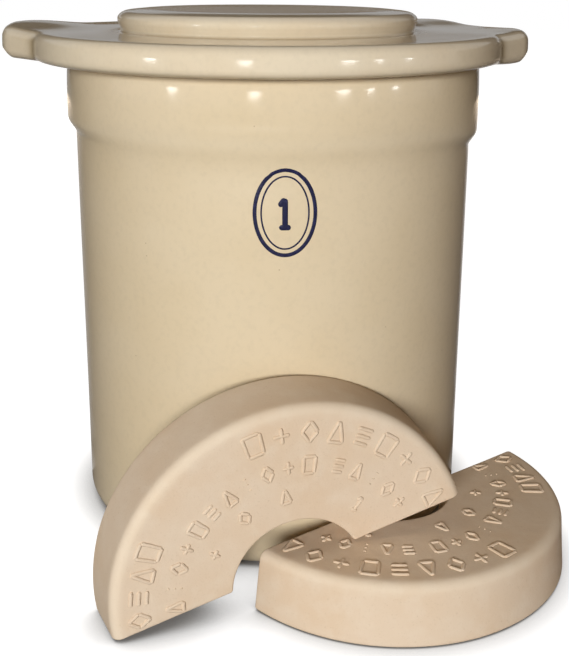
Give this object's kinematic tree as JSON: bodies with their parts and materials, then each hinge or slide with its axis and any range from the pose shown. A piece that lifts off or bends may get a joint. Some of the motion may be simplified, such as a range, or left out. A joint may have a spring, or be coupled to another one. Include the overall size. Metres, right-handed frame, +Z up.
{
  "type": "pickling crock",
  "caption": "Straight glazed stoneware pickling crock with a thick collar, a flat lid with two lug handles, and half-ring fermentation weights leaning and lying in front.",
  "frame": {"origin": "centre of the crock's flat foot, on the table", "axes": "+Z up along the crock's axis, -Y to the front where the weights stand, +X to the right"},
  "size_m": [0.2569, 0.2579, 0.2354],
  "materials": {
    "glazed_stoneware": "glossy clear glaze over a cream to buff stoneware body",
    "bisque_stoneware": "matte unglazed stoneware",
    "cobalt_mark": "near-black blue underglaze mark"
  },
  "bodies": {
    "crock_body": {"crock": "glazed_stoneware"},
    "lid_body": {"lid": "glazed_stoneware"},
    "weight_flat_body": {"weight_flat": "bisque_stoneware"},
    "weight_leaning_body": {"weight_leaning": "bisque_stoneware"}
  },
  "joints": [
    {"name": "lid_lift", "type": "slide", "parent": "crock_body", "child": "lid_body", "axis": [0, 0, 1], "range_m": [0, 0.2]},
    {"name": "weight_leaning_lift", "type": "slide", "parent": "crock_body", "child": "weight_leaning_body", "axis": [0.2232, -0.671, 0.7071], "range_m": [0, 0.16]},
    {"name": "weight_flat_slide", "type": "slide", "parent": "crock_body", "child": "weight_flat_body", "axis": [0.6032, -0.7976, 0], "range_m": [0, 0.15]}
  ]
}
